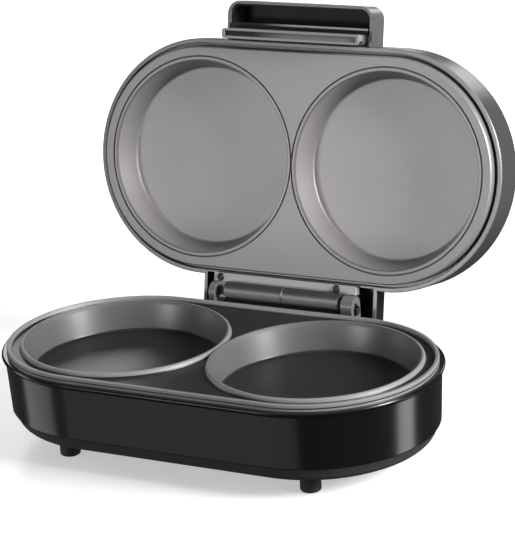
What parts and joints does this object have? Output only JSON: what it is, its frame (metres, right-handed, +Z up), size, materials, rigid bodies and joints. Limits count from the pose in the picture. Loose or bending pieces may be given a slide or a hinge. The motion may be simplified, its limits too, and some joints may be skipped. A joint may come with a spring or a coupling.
{
  "type": "donut maker",
  "caption": "Stadium-shaped electric griddle with a pair of round flat-floored wells and a hinged lid that opens past upright, with a hooked latch bar in its handle.",
  "frame": {"origin": "on the plane of the rubber feet, under the middle of the base", "axes": "+X along the appliance's length, the front faces -Y and the hinge is at +Y, +Z up"},
  "size_m": [0.2884, 0.2397, 0.2473],
  "materials": {
    "black_housing": "gloss black moulding",
    "dark_cover": "dark grey painted steel pressing",
    "foot_rubber": "matt",
    "lower_coating": "dark non-stick coated die casting",
    "upper_coating": "grey non-stick coated die casting",
    "heater_sheath": "dull heat-stained sheath",
    "zinc_steel": "zinc plated",
    "bright_steel": "ground and polished",
    "lower_pan": "plain sheet",
    "upper_pan": "plain sheet",
    "ceramic": "ceramic-filled body",
    "terminal_plastic": "natural polyamide",
    "gland_plastic": "black",
    "lead_sleeve": "woven glass sleeving",
    "ear_grey": "satin grey",
    "lid_grey": "satin dark grey moulding",
    "barrel_grey": "satin grey",
    "cover_grey": "satin light grey",
    "hood_grey": "satin dark grey moulding",
    "liner_black": "black",
    "latch_grey": "satin warm grey moulding",
    "lens_red": "tinted",
    "lens_green": "tinted",
    "lamp_glass": "small neon tube"
  },
  "bodies": {
    "base": {"base_housing": "black_housing", "bottom_cover": "dark_cover", "rubber_feet": "foot_rubber", "foot_screws": "zinc_steel", "cover_screws": "zinc_steel", "lower_plate": "lower_coating", "lower_heating_element": "heater_sheath", "lower_element_clamps": "zinc_steel", "lower_clamp_screws": "zinc_steel", "lower_heat_shield": "lower_pan", "lower_shield_screws": "zinc_steel", "thermostat": "ceramic", "lower_thermal_fuse": "bright_steel", "terminal_block": "terminal_plastic", "cord_gland": "gland_plastic", "lower_wires": "lead_sleeve", "left_hinge_ear": "ear_grey", "right_hinge_ear": "ear_grey", "hinge_ear_screws": "zinc_steel", "hinge_rod": "bright_steel", "rod_clips": "zinc_steel"},
    "lid": {"lid_shell": "lid_grey", "upper_plate": "upper_coating", "upper_heating_element": "heater_sheath", "upper_element_clamps": "zinc_steel", "upper_clamp_screws": "zinc_steel", "upper_heat_shield": "upper_pan", "upper_shield_screws": "zinc_steel", "upper_thermal_fuse": "bright_steel", "upper_wires": "lead_sleeve", "left_hinge_barrel": "barrel_grey", "right_hinge_barrel": "barrel_grey", "hinge_cover": "cover_grey", "hinge_cover_screws": "zinc_steel", "handle_hood": "hood_grey", "handle_liner": "liner_black", "handle_screws": "zinc_steel", "power_lens": "lens_red", "ready_lens": "lens_green", "indicator_lamps": "lamp_glass", "latch_pin": "bright_steel", "latch_washers": "zinc_steel"},
    "latch": {"latch_bar": "latch_grey"}
  },
  "joints": [
    {"name": "lid_hinge", "type": "hinge", "parent": "base", "child": "lid", "pos_m": [0, 0.0898, 0.0607], "axis": [1, 0, 0], "range_deg": [0, 102.2]},
    {"name": "latch_hinge", "type": "hinge", "parent": "lid", "child": "latch", "pos_m": [0, 0.13564, 0.22635], "axis": [1, 0, 0], "range_deg": [0, 6.5]}
  ]
}
